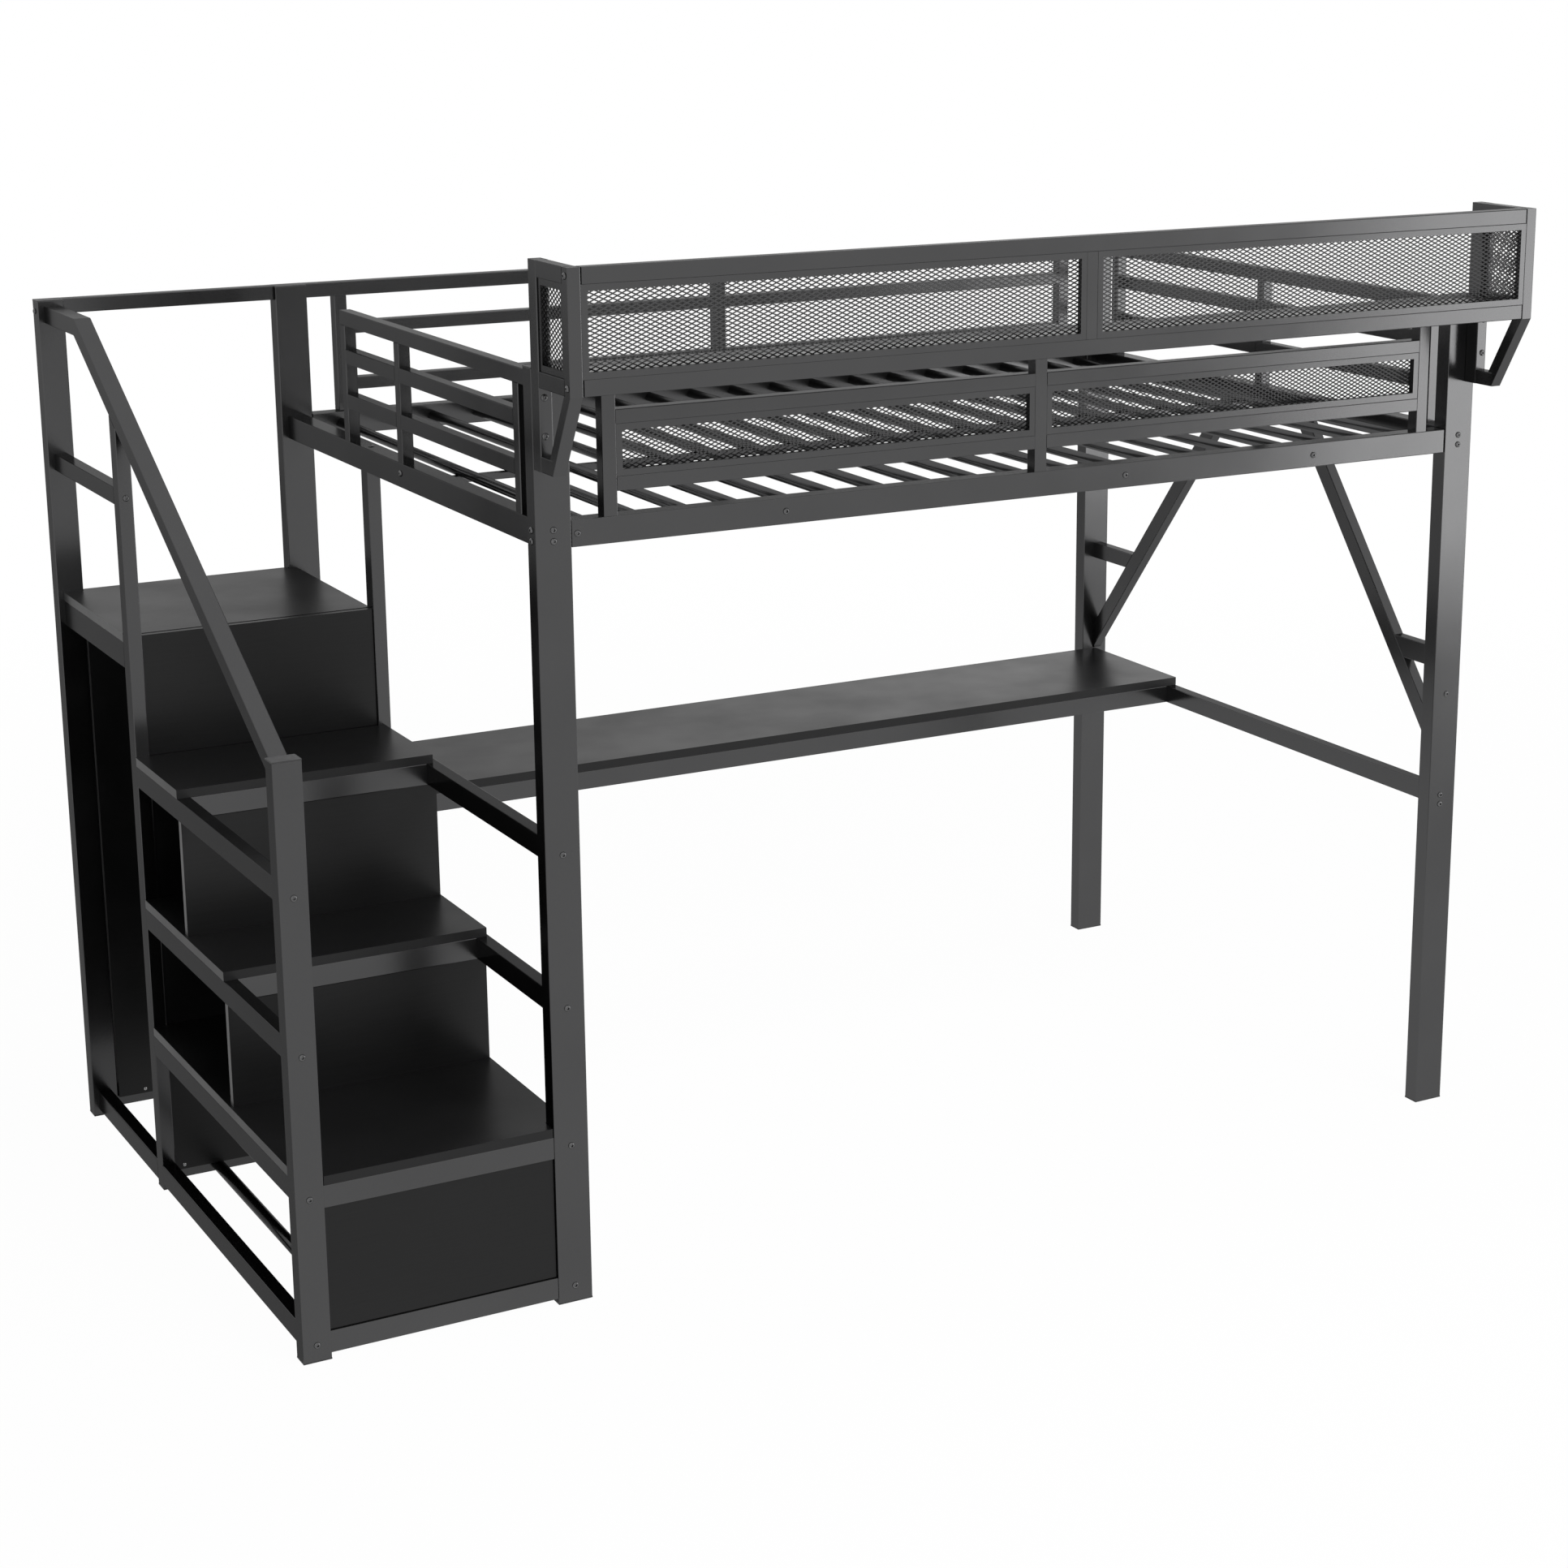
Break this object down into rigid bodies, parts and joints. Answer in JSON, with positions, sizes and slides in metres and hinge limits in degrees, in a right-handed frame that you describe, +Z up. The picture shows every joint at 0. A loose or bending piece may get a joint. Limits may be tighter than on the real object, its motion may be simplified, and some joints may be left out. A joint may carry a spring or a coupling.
{
  "type": "loft bed with desk",
  "caption": "Metal loft bed with boarded stair and landing, a long desk below, a slatted deck, guards and a mesh-sided tray along the front.",
  "frame": {"origin": "centre of the overall box on the floor", "axes": "+X along the bed from the stair to the far end, +Y from the tray's side to the back, +Z up"},
  "size_m": [2.671, 1.603, 2],
  "materials": {
    "frame_steel": "satin powder coat",
    "mesh_steel": "satin powder coat",
    "board": "dark laminate, half gloss",
    "cap_plastic": "matt",
    "bolt_steel": "black, half gloss"
  },
  "bodies": {
    "root": {"front_left_post": "frame_steel", "front_right_post": "frame_steel", "back_left_post": "frame_steel", "back_right_post": "frame_steel", "stair_newel_post": "frame_steel", "stair_back_post": "frame_steel", "landing_left_post": "frame_steel", "landing_right_post": "frame_steel", "handrail": "frame_steel", "bottom_cross_rails": "frame_steel", "bottom_stretcher": "frame_steel", "stair_left_rails": "frame_steel", "stair_right_rails": "frame_steel", "landing_left_rails": "frame_steel", "landing_right_rails": "frame_steel", "tread_cross_rails": "frame_steel", "landing_guard_bar": "frame_steel", "landing_top_rail": "frame_steel", "front_side_rail": "frame_steel", "back_side_rail": "frame_steel", "left_end_rail": "frame_steel", "right_end_rail": "frame_steel", "middle_beam": "frame_steel", "slats": "frame_steel", "front_guard": "frame_steel", "back_guard": "frame_steel", "back_top_rail": "frame_steel", "left_end_guard": "frame_steel", "right_end_guard": "frame_steel", "tray_left_frame": "frame_steel", "tray_right_frame": "frame_steel", "tray_front_frame": "frame_steel", "tray_floor": "frame_steel", "tray_rear_rail": "frame_steel", "desk_front_rail": "frame_steel", "desk_rear_rail": "frame_steel", "desk_left_rail": "frame_steel", "desk_right_rail": "frame_steel", "right_end_braces": "frame_steel", "front_guard_mesh_left": "mesh_steel", "front_guard_mesh_right": "mesh_steel", "tray_left_mesh": "mesh_steel", "tray_right_mesh": "mesh_steel", "tray_mesh_left": "mesh_steel", "tray_mesh_right": "mesh_steel", "lower_tread": "board", "middle_tread": "board", "upper_tread": "board", "landing_board": "board", "front_riser": "board", "middle_riser": "board", "upper_riser": "board", "landing_riser": "board", "wardrobe_back_panel": "board", "desk_top": "board", "foot_glides": "cap_plastic", "post_caps": "cap_plastic", "frame_bolts": "bolt_steel", "panel_screws": "bolt_steel"}
  },
  "joints": []
}
